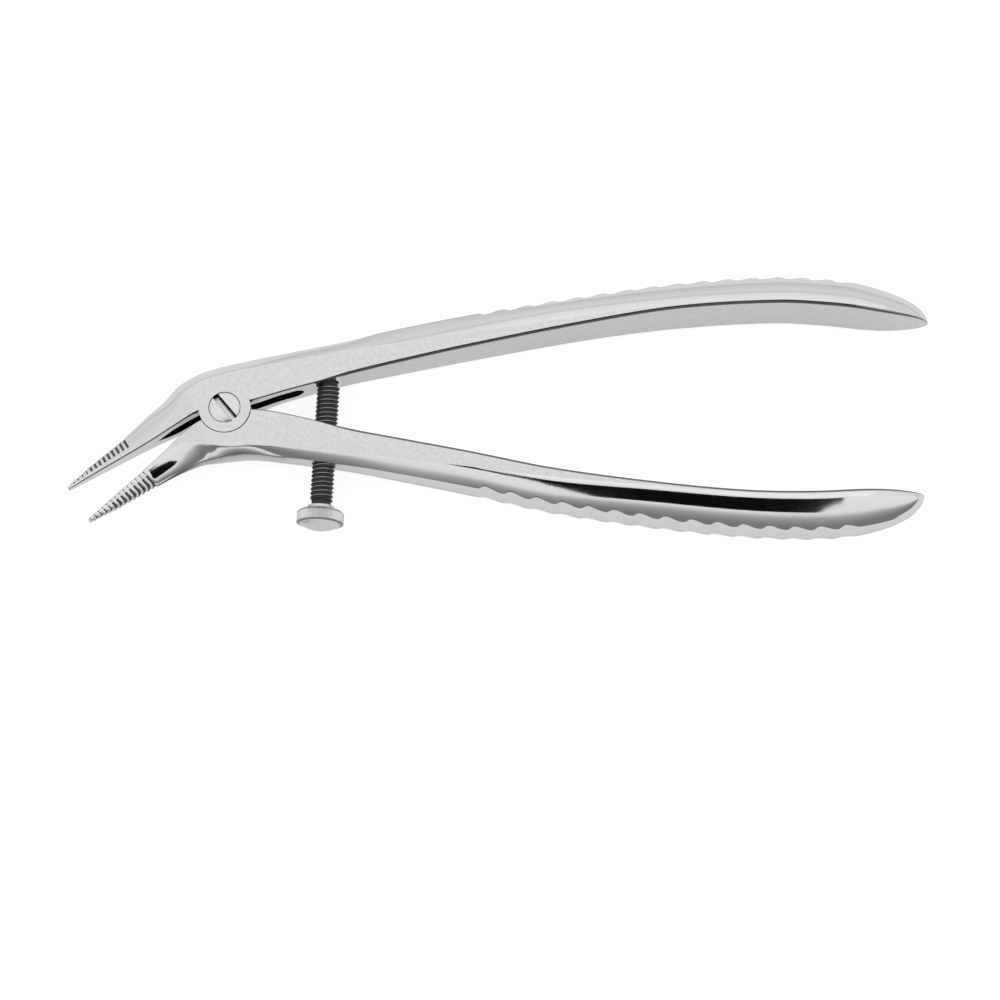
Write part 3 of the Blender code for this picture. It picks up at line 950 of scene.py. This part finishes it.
        # Every room cut here is painted near black: painted shade in the recess.
        if self.side is LeverSide.UPPER:
            top = sizes.half_thickness
            head = sizes.head_radius + sizes.head_gap
            head_span = (top - sizes.head_height - sizes.gap, top + sizes.overcut)
            seat_span = (-sizes.boss_radius, 0.0)
            return [
                (cone_cutter("head_room", (head, head), head_span, finish=Slot.PAINTED_SHADE_AND_REFLECTION), "DIFFERENCE"),
                (
                    cone_cutter("seat", (sizes.seat_radius,) * 2, seat_span, place, finish=Slot.PAINTED_SHADE_AND_REFLECTION),
                    "DIFFERENCE",
                ),
            ]
        hole = sizes.screw_radius + sizes.thread_gap
        span = (-sizes.screw_length, 0.0)
        return [(cone_cutter("screw_hole", (hole, hole), span, place, finish=Slot.PAINTED_SHADE_AND_REFLECTION), "DIFFERENCE")]

    def build(self, materials: Finishes) -> Piece:
        """Sweep the lever and cut its joint.

        Args:
            materials: The finishes in the order of Slot.

        Returns:
            The finished lever in the pivot's frame.
        """
        name = f"{self.side.name.lower()}_lever_steel_body"
        lever = self.sweep(name, materials)
        apply_booleans(lever, self.joint_steps() + self.screw_steps())
        sharpen(lever, degrees=26.0, at_finish_borders=True)
        return lever


def upper_lever(sizes: JointSizes, jaw: JawSizes, grip: GripSizes) -> Lever:
    """Make the lever with the jaw above the jaw line.

    Args:
        sizes: The shared sizes of the joint.
        jaw: The shared sizes of the jaws.
        grip: The shared sizes of the grips.

    Returns:
        The lever with its sections.
    """
    lever = Lever(
        LeverSide.UPPER, sizes, jaw, grip,
        handle_length=0.1238, handle_rise=0.0188, grip_depth=0.0057, jaw_angle=30.5,
    )
    root, pivot, tip = jaw.root_height, sizes.half_thickness, jaw.tip_edge
    waist, wide, strip, neck = grip.waist, grip.half_width, grip.strip, grip.neck_strip
    for row in (
        (1.00, jaw.tip_height, jaw.tip_half_width, 0.0, 0.6 * tip, 88),
        (0.83, 0.30 * root, 0.29 * pivot, 0.0, 0.75 * tip, 88),
        (0.57, 0.53 * root, 0.44 * pivot, 0.0, tip, 88),
        (0.42, 0.69 * root, 0.59 * pivot, 0.05, 0.35 * neck, 80),
        (0.28, 0.81 * root, 0.84 * pivot, 0.35, 0.65 * neck, 70),
        (0.15, 0.99 * root, 0.98 * pivot, 0.65, 0.85 * neck, 60),
    ):
        lever.add_jaw_section(*row)
    for row in (
        (-0.49, (-0.55, -0.02), (-1.05, 1.51), pivot, 0.72, neck, 52),
        (0.11, (0.10, 0.07), (-0.15, 1.80), pivot, 0.75, 1.05 * neck, 52),
        (0.93, (1.00, 0.28), (1.00, 2.07), 0.96 * pivot, 0.75, 1.05 * neck, 52),
    ):
        lever.add_pivot_section(*row)
    for row in (
        (0.080, 0.166, 1.295, 1.02 * waist, 0.74, neck, 50),
        (0.168, 0.330, 1.158, waist, 0.68, neck, 50),
        (0.225, 0.420, 1.158, 0.65 * wide, 0.58, 0.80 * strip, 50),
        (0.338, 0.585, 1.105, 0.76 * wide, 0.40, 0.95 * strip, 50),
        (0.508, 0.809, 1.000, 0.87 * wide, 0.24, strip, 48),
        (0.640, 0.942, 0.982, wide, 0.13, strip, 46),
        (0.780, 1.000, 1.000, wide, 0.10, strip, 46),
        (0.860, 0.973, 1.000, wide, 0.10, strip, 46),
        (0.940, 0.910, 0.965, wide, 0.10, strip, 46),
        (1.000, 0.888, 0.965, wide, 0.10, strip, 46),
    ):
        lever.add_handle_section(*row)
    return lever


def lower_lever(sizes: JointSizes, jaw: JawSizes, grip: GripSizes) -> Lever:
    """Make the lever with the jaw below the jaw line, which the stop screw runs through.

    Args:
        sizes: The shared sizes of the joint.
        jaw: The shared sizes of the jaws.
        grip: The shared sizes of the grips.

    Returns:
        The lever with its sections.
    """
    lever = Lever(
        LeverSide.LOWER, sizes, jaw, grip,
        handle_length=0.1220, handle_rise=-0.0155, grip_depth=-0.0063, jaw_angle=42.0,
    )
    root, pivot, tip = jaw.root_height, sizes.half_thickness, jaw.tip_edge
    waist, wide, strip, neck = grip.waist, grip.half_width, grip.strip, grip.neck_strip
    for row in (
        (1.00, jaw.tip_height, jaw.tip_half_width, 0.0, 0.6 * tip, 88),
        (0.83, 0.30 * root, 0.29 * pivot, 0.0, 0.75 * tip, 88),
        (0.57, 0.52 * root, 0.44 * pivot, 0.0, tip, 88),
        (0.42, 0.66 * root, 0.59 * pivot, 0.05, 0.35 * neck, 80),
        (0.30, 0.83 * root, 0.81 * pivot, 0.30, 0.65 * neck, 70),
    ):
        lever.add_jaw_section(*row)
    for row in (
        (-1.00, (-1.00, -0.56), (-0.35, -1.90), 0.98 * pivot, 0.70, 0.90 * neck, 52),
        (-0.22, (-0.20, -0.29), (0.30, -1.80), pivot, 0.86, 1.05 * neck, 52),
        (1.02, (1.00, -0.05), (1.10, -1.75), 0.95 * pivot, 0.865, 1.05 * neck, 52),
    ):
        lever.add_pivot_section(*row)
    for row in (
        (0.085, 0.053, 1.213, 1.02 * waist, 0.815, neck, 50),
        (0.178, 0.226, 1.035, waist, 0.72, neck, 50),
        (0.235, 0.323, 1.000, 0.65 * wide, 0.62, 0.76 * strip, 50),
        (0.350, 0.510, 0.984, 0.76 * wide, 0.48, 0.87 * strip, 50),
        (0.465, 0.710, 0.984, 0.86 * wide, 0.30, strip, 48),
        (0.608, 0.884, 0.984, 0.98 * wide, 0.14, strip, 46),
        (0.740, 0.987, 1.000, wide, 0.10, strip, 46),
        (0.840, 1.000, 1.032, wide, 0.10, strip, 46),
        (0.930, 0.968, 1.000, wide, 0.10, strip, 46),
        (1.000, 0.968, 0.952, wide, 0.10, strip, 46),
    ):
        lever.add_handle_section(*row)
    return lever


# Screws and knob


def turned_profile(
    name: str,
    profile: Sequence[tuple[float, float]],
    materials: Finishes,
    steps: int = 96,
) -> Piece:
    """Spin a profile into a closed solid.

    Args:
        name: Name of the object.
        profile: Pairs of radius and height from top to bottom, the first and last on the axis.
        materials: The finishes.
        steps: Steps of the turn.

    Returns:
        The turned object about its own Z axis.
    """
    mesh = bmesh.new()
    points = [mesh.verts.new((radius, 0, height)) for radius, height in profile]
    lines = [mesh.edges.new(pair) for pair in zip(points, points[1:])]
    bmesh.ops.spin(
        mesh, geom=points + lines, cent=(0, 0, 0), axis=(0, 0, 1), dvec=(0, 0, 0),
        angle=2 * math.pi, steps=steps, use_merge=True, use_duplicate=False,
    )
    bmesh.ops.remove_doubles(mesh, verts=mesh.verts, dist=0.000001)
    bmesh.ops.recalc_face_normals(mesh, faces=mesh.faces)
    return new_object(name, mesh, materials)


@dataclass
class PivotScrew:
    """The slotted screw that the levers turn on."""

    sizes: JointSizes
    rim: float = 0.00012
    slot_width: float = 0.0009
    slot_depth: float = 0.0013
    slot_edge: float = 0.00014
    slot_angle: float = -50.0
    slot_shift: float = 0.00007
    crown: float = 0.00004
    rounding: float = 0.3
    end_bevel: float = 0.0001

    def build(self, materials: Finishes) -> Piece:
        """Turn the screw and cut its slot, whose edges are broken.

        Args:
            materials: The finishes of the screw and of the slot's walls and broken edges, which are
                painted near black as painted shade.

        Returns:
            The screw in the pivot's frame.
        """
        half = self.sizes.half_thickness
        head = self.sizes.head_radius
        shank = self.sizes.shank_radius
        under = half - self.sizes.head_height
        profile = [
            (0.0, half),
            (head / 2, half - self.crown * self.rounding),
            (head - self.rim, half - self.crown),
            (head - self.rim * self.rounding, half - self.crown - self.rim * self.rounding),
            (head, half - self.crown - self.rim),
            (head, under),
            (shank, under),
            (shank, -half + self.end_bevel),
            (shank - self.end_bevel, -half),
            (0.0, -half),
        ]
        screw = turned_profile("pivot_screw_slotted", profile, materials)
        turn = Matrix.Rotation(math.radians(self.slot_angle), 4, "Z")
        place = Matrix.Translation((0, 0, half)) @ turn
        wide = self.slot_width + 2 * self.slot_edge
        shallow = 0.5 * self.slot_edge + self.crown
        cuts = []
        for name, width, depth, shift in (
            ("slot", self.slot_width, self.slot_depth, 0.0),
            ("slot_edge", wide, shallow, self.slot_shift),
        ):
            mesh = bmesh.new()
            bmesh.ops.create_cube(mesh, size=1.0)
            bmesh.ops.scale(mesh, vec=(3 * head, width, 2 * depth), verts=mesh.verts)
            for face in mesh.faces:
                # The slot's walls, and every face of its broken edge, take the second finish: painted
                # shade.
                face.material_index = int(abs(face.normal.z) < 0.5 or name == "slot_edge")
            bmesh.ops.translate(mesh, vec=(0, shift, 0), verts=mesh.verts)
            bmesh.ops.transform(mesh, matrix=place, verts=mesh.verts)
            cuts.append((new_object(name, mesh, ()), "DIFFERENCE"))
        apply_booleans(screw, cuts)
        sharpen(screw, degrees=25.0)
        return screw


@dataclass
class StopScrew:
    """The threaded rod that holds the handles apart, with its knurled knob.

    thread_flat is the flat on the thread's crest as a share of the pitch, and margin keeps the
    tests of where a face or a vertex lies clear of rounding.
    """

    sizes: JointSizes
    pitch: float = 0.00079
    thread_depth: float = 0.00025
    thread_flat: float = 0.12
    thread_steps: int = 48
    crest_share: float = 0.985
    core_share: float = 0.96
    tip_length: float = 0.0012
    tip_radius: float = 0.0016
    tip_bevel: tuple[float, float] = (0.00025, 0.0003)
    plain_end: float = 0.0007
    end_reach: float = 0.0009
    overlap: float = 0.0002
    knob_radius: float = 0.0041
    neck_radius: float = 0.0023
    neck_length: float = 0.0010
    neck_bevel: float = 0.0001
    neck_fillet: float = 0.0002
    bore_radius: float = 0.0016
    bore_depth: float = 0.0014
    rim_bevel: float = 0.00032
    base_bevel: float = 0.00055
    base_rise: float = 0.00016
    rim_height: float = 0.0021
    dome: float = 0.00105
    dome_steps: int = 8
    knurls: int = 46
    knurl_depth: float = 0.00026
    knurl_runout: float = 0.0001
    margin: float = 0.00002

    def build_rod(self, materials: Finishes) -> Piece:
        """Wind the thread round the rod and close its ends.

        Args:
            materials: The finishes of the thread's flanks and of its crest, both painted dark as
                painted shade of the rod, the flanks near black.

        Returns:
            The threaded rod in the pivot's frame.
        """
        crest = self.sizes.screw_radius
        root = crest - self.thread_depth
        top = -self.sizes.screw_gap
        bottom = top - self.sizes.screw_length
        turns = math.ceil(self.sizes.screw_length / self.pitch) + 3
        flat = self.thread_flat
        form = (
            (0.0, root), (flat, root), (0.5 - flat / 2, crest),
            (0.5 + flat / 2, crest), (1.0 - flat, root),
        )
        mesh = bmesh.new()
        points = []
        for index in range(turns):
            low = bottom - 1.5 * self.pitch + index * self.pitch
            for part, radius in form:
                points.append(mesh.verts.new((radius, 0, low + part * self.pitch)))
        lines = [mesh.edges.new(pair) for pair in zip(points, points[1:])]
        bmesh.ops.spin(
            mesh, geom=points + lines, cent=(0, 0, 0), axis=(0, 0, 1),
            dvec=(0, 0, self.pitch / self.thread_steps),
            angle=2 * math.pi, steps=self.thread_steps, use_merge=False, use_duplicate=False,
        )
        bmesh.ops.remove_doubles(mesh, verts=mesh.verts, dist=0.000002)
        for height, normal in ((top - self.tip_length, 1), (bottom + self.plain_end, -1)):
            bmesh.ops.bisect_plane(
                mesh, geom=mesh.verts[:] + mesh.edges[:] + mesh.faces[:], dist=0.0000001,
                plane_co=(0, 0, height), plane_no=(0, 0, normal), clear_outer=True,
            )
        ends = [edge for edge in mesh.edges if edge.is_boundary]
        bmesh.ops.holes_fill(mesh, edges=ends, sides=0)
        bmesh.ops.recalc_face_normals(mesh, faces=mesh.faces)
        # Faces out at the crest get the lighter of the two dark finishes, the rest the near-black one:
        # painted shade.
        for face in mesh.faces:
            centre = face.calc_center_median()
            face.material_index = int(math.hypot(centre.x, centre.y) > self.crest_share * crest)
        rod = new_object("stop_screw_threaded_rod", mesh, materials)
        core = self.core_share * root
        side, drop = self.tip_bevel
        tip_low = top - self.tip_length - self.overlap
        tip = turned_profile("tip_cutter", [
            (0.0, top), (self.tip_radius - side, top), (self.tip_radius, top - drop),
            (self.tip_radius, tip_low), (0.0, tip_low),
        ], ())
        end_high = bottom + self.plain_end + self.overlap
        end_low = bottom - self.end_reach
        end = turned_profile("end_cutter", [
            (0.0, end_high), (core, end_high), (core, end_low), (0.0, end_low),
        ], ())
        apply_booleans(rod, [(tip, "UNION"), (end, "UNION")])
        sharpen(rod, degrees=20.0)
        rod.data.transform(self.sizes.screw_frame())
        return rod

    def build_knob(self, materials: Finishes) -> Piece:
        """Turn the knob and press its knurl.

        Args:
            materials: The finishes of the knob and of the broken edge round its base, which is painted
                as a dark line of shade.

        Returns:
            The knob in the pivot's frame.
        """
        top = -2 * self.sizes.screw_gap - self.sizes.screw_length
        shoulder = top - self.neck_length
        rim_end = shoulder - self.rim_height
        edge_end = rim_end - self.base_rise
        outer = self.knob_radius
        dome_radius = outer - self.base_bevel
        neck = self.neck_radius
        bevel = self.neck_bevel
        rim_top = shoulder - self.rim_bevel
        bore = self.bore_radius
        floor = top - self.bore_depth
        profile = [
            (0.0, floor), (bore, floor), (bore, top), (neck - bevel, top), (neck, top - bevel),
            (neck, shoulder + bevel), (neck + self.neck_fillet, shoulder),
            (outer - self.rim_bevel, shoulder), (outer, rim_top), (outer, rim_top - self.knurl_runout),
            (outer, rim_end + self.knurl_runout), (outer, rim_end),
        ]
        for step in range(self.dome_steps + 1):
            share = 1.0 - step / self.dome_steps
            profile.append((dome_radius * share, edge_end - self.dome * (1.0 - share**2)))
        knob = turned_profile("stop_screw_knurled_knob", profile, materials, 4 * self.knurls)
        mesh = bmesh.new()
        mesh.from_mesh(knob.data)
        for face in mesh.faces:
            centre = face.calc_center_median()
            # The broken edge round the base is painted as a dark line: painted shade.
            edge = math.hypot(centre.x, centre.y) > dome_radius and centre.z < rim_end - self.margin
            face.material_index = int(edge)
        for vertex in mesh.verts:
            radius = math.hypot(vertex.co.x, vertex.co.y)
            inside = rim_end + self.margin < vertex.co.z < rim_top - self.margin
            if radius < outer - self.margin or not inside:
                continue
            angle = math.atan2(vertex.co.y, vertex.co.x)
            wave = 0.5 - 0.5 * math.cos(angle * self.knurls)
            shrink = 1.0 - self.knurl_depth * wave / radius
            vertex.co.x *= shrink
            vertex.co.y *= shrink
        mesh.to_mesh(knob.data)
        mesh.free()
        sharpen(knob, degrees=32.0)
        knob.data.transform(self.sizes.screw_frame())
        return knob


# The studio


@dataclass(frozen=True)
class Card:
    """A card that only the steel mirrors.

    Its edges and its height are measured from the pivot. Its grey runs from far_grey at the south
    edge to near_grey at the north edge.
    """

    name: str
    west: float
    east: float
    south: float
    north: float
    height: float
    far_grey: float = 0.004
    near_grey: float = 0.004

    def build(self, pivot: Vector) -> None:
        """Put the card in the studio.

        Args:
            pivot: The pivot's place.
        """
        material, tree, shader = new_material(self.name)
        place = add_node(tree, "ShaderNodeTexCoord", {})["Object"]
        split = add_node(tree, "ShaderNodeSeparateXYZ", {"Vector": place})
        grade = add_node(tree, "ShaderNodeMapRange", {
            "Value": split["Y"],
            "From Min": pivot.y + self.south,
            "From Max": pivot.y + self.north,
            "To Min": self.far_grey,
            "To Max": self.near_grey,
        })
        feed(tree, shader, {"Base Color": grade["Result"], "Roughness": 1.0, "Specular IOR Level": 0.0})
        mesh = bmesh.new()
        bmesh.ops.create_grid(mesh, x_segments=1, y_segments=1, size=0.5)
        reach = (self.east - self.west, self.north - self.south, 1)
        bmesh.ops.scale(mesh, vec=reach, verts=mesh.verts)
        middle = Vector(((self.west + self.east) / 2, (self.south + self.north) / 2, self.height))
        bmesh.ops.translate(mesh, vec=pivot + middle, verts=mesh.verts)
        card = new_object(self.name, mesh, [material])
        card.visible_camera = False
        card.visible_diffuse = False
        card.visible_shadow = False
        card.visible_transmission = False


@dataclass
class Studio:
    """A pale floor, a light tent, the cards that the steel mirrors, a soft lamp and the camera.

    Each tent level is an angle from overhead towards +Y, in degrees, and the brightness there.
    """

    pivot: Vector
    camera_from_pivot: tuple[float, float, float] = (0.0480, -0.1596, 0.5020)
    camera_tilt: float = 16.0
    lens: float = 108.0
    sensor: float = 36.0
    clip: tuple[float, float] = (0.01, 20.0)
    floor_size: float = 4.0
    floor_grey: float = 0.45
    lens_glow: float = 0.78
    mirror_glow: float = 0.46
    lamp_power: float = 0.15
    lamp_size: tuple[float, float] = (0.7, 0.5)
    lamp_from_pivot: tuple[float, float, float] = (0.10, 0.30, 0.62)
    lamp_aim: tuple[float, float, float] = (0.03, 0, 0)
    tent_levels: tuple[tuple[float, float], ...] = (
        (-90, 0.22), (90, 0.64), (-72, 0.22), (-60, 0.31), (-50, 0.44), (-45, 0.60), (-39, 0.84),
        (-30, 0.90), (0, 0.93), (40, 0.92), (55, 0.72),
    )
    cards: tuple[Card, ...] = (
        Card("lens_card", -0.018, 0.178, -0.36, 0.0, 0.5),
        Card("west_card", -0.046, -0.021, -0.09, 0.0, 0.5),
        # Grey 0.90 far off to 0.04 next to the pliers, just over the floor: a painted shadow of the
        # floor that only the steel mirrors.
        Card("painted_floor_shadow_card", -0.0125, 0.0095, -0.046, -0.0115, -0.0055, 0.90, 0.04),
    )

    def build(self) -> None:
        """Make everything round the object."""
        self._floor()
        self._tent()
        for card in self.cards:
            card.build(self.pivot)
        self._lamp()
        self._camera()
        bpy.context.scene.view_settings.view_transform = "Standard"

    def _floor(self) -> None:
        """The floor that the pliers lie on: white to the lens, with their soft shadow."""
        mesh = bmesh.new()
        bmesh.ops.create_grid(mesh, x_segments=1, y_segments=1, size=self.floor_size / 2)
        material, tree, shader = new_material("white_floor")
        grey = (self.floor_grey, self.floor_grey, self.floor_grey, 1)
        feed(tree, shader, {"Base Color": grey, "Roughness": 0.9, "Specular IOR Level": 0.0})
        path = add_node(tree, "ShaderNodeLightPath", {})
        strength: Source = 0.0
        for ray, glow in (
            ("Is Camera Ray", self.lens_glow),
            ("Is Glossy Ray", self.mirror_glow),
            ("Is Transmission Ray", self.mirror_glow),
        ):
            inputs = {0: path[ray], 1: glow, 2: strength}
            strength = add_node(tree, "ShaderNodeMath", inputs, operation="MULTIPLY_ADD")["Value"]
        light = add_node(tree, "ShaderNodeEmission", {"Color": (1, 1, 1, 1), "Strength": strength})
        both = add_node(tree, "ShaderNodeAddShader", {0: shader.outputs["BSDF"], 1: light["Emission"]})
        feed(tree, tree.nodes["Material Output"], {"Surface": both["Shader"]})
        floor = new_object("studio_floor", mesh, [material])

    def _tent(self) -> None:
        """The world: bright overhead, dimmer towards the horizon on the lens's side."""
        world = bpy.data.worlds.new("light_tent")
        bpy.context.scene.world = world
        world.use_nodes = True
        tree = world.node_tree
        place = add_node(tree, "ShaderNodeTexCoord", {})["Generated"]
        split = add_node(tree, "ShaderNodeSeparateXYZ", {"Vector": place})
        angle = add_node(tree, "ShaderNodeMath", {0: split["Y"], 1: split["Z"]}, operation="ARCTAN2")
        inputs = {"Value": angle["Value"], "From Min": -math.pi / 2, "From Max": math.pi / 2}
        turn = add_node(tree, "ShaderNodeMapRange", inputs)
        ramp = tree.nodes.new("ShaderNodeValToRGB")
        stops = ramp.color_ramp.elements
        for index, (degrees, level) in enumerate(self.tent_levels):
            stop = stops[index] if index < 2 else stops.new(0.5)
            stop.position = (degrees + 90) / 180
            stop.color = (level, level, level, 1)
        feed(tree, ramp, {"Fac": turn["Result"]})
        path = add_node(tree, "ShaderNodeLightPath", {})
        inputs = {0: ramp.outputs["Color"], 1: path["Is Camera Ray"]}
        lift = add_node(tree, "ShaderNodeMath", inputs, operation="MAXIMUM")
        feed(tree, tree.nodes["Background"], {"Color": (1, 1, 1, 1), "Strength": lift["Value"]})

    def _lamp(self) -> None:
        """One broad soft lamp overhead, behind the object as the lens sees it."""
        data = bpy.data.lights.new("overhead_soft", "AREA")
        data.shape = "RECTANGLE"
        data.size, data.size_y = self.lamp_size
        data.energy = self.lamp_power
        lamp = bpy.data.objects.new("overhead_soft", data)
        lamp.location = self.pivot + Vector(self.lamp_from_pivot)
        aim = self.pivot + Vector(self.lamp_aim) - lamp.location
        lamp.rotation_euler = aim.to_track_quat("-Z", "Y").to_euler()
        bpy.context.scene.collection.objects.link(lamp)

    def _camera(self) -> None:
        """The camera where the photograph was taken from."""
        data = bpy.data.cameras.new("camera")
        data.lens = self.lens
        data.sensor_width = self.sensor
        data.clip_start, data.clip_end = self.clip
        camera = bpy.data.objects.new("camera", data)
        camera.location = self.pivot + Vector(self.camera_from_pivot)
        camera.rotation_euler = (math.radians(self.camera_tilt), 0, 0)
        bpy.context.scene.collection.objects.link(camera)
        bpy.context.scene.camera = camera


# Assembly


def main() -> None:
    """Build every piece in order, then the studio."""
    logging.basicConfig(level=logging.INFO, format="%(name)s: %(message)s")
    low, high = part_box("pivot_screw")
    pivot = (low + high) / 2
    place = Matrix.Translation(pivot)
    sizes = JointSizes()
    finishes = FinishSet()
    lever_finishes = finishes.for_levers()
    jaw = JawSizes()
    grip = GripSizes()
    upper = upper_lever(sizes, jaw, grip).build(lever_finishes)
    place_and_ride(upper, place, "upper_body", "upper_lever_steel", "upper_lever")
    lower = lower_lever(sizes, jaw, grip).build(lever_finishes)
    place_and_ride(lower, place, "lower_body", "lower_lever_steel", "lower_lever")
    # The slot takes the levers' near-black finish: painted shade.
    pivot_screw = PivotScrew(sizes).build([finishes.screw_head.build(), lever_finishes[Slot.PAINTED_SHADE_AND_REFLECTION]])
    place_and_ride(pivot_screw, place, "lower_body", "pivot_screw_steel", "pivot_screw")
    stop_screw = StopScrew(sizes)
    # Both thread finishes are dark: painted shade.
    rod = stop_screw.build_rod([finishes.thread.build(), finishes.thread_crest.build()])
    place_and_ride(rod, place, "knob_body", "stop_screw_steel", "stop_screw")
    # The knob's base edge takes the dark-grey edge finish: painted shade.
    knob = stop_screw.build_knob([finishes.knurl.build(), lever_finishes[Slot.EDGE]])
    place_and_ride(knob, place, "knob_body", "knob_steel", "stop_screw_knob")
    Studio(pivot).build()


if __name__ == "__main__":
    main()
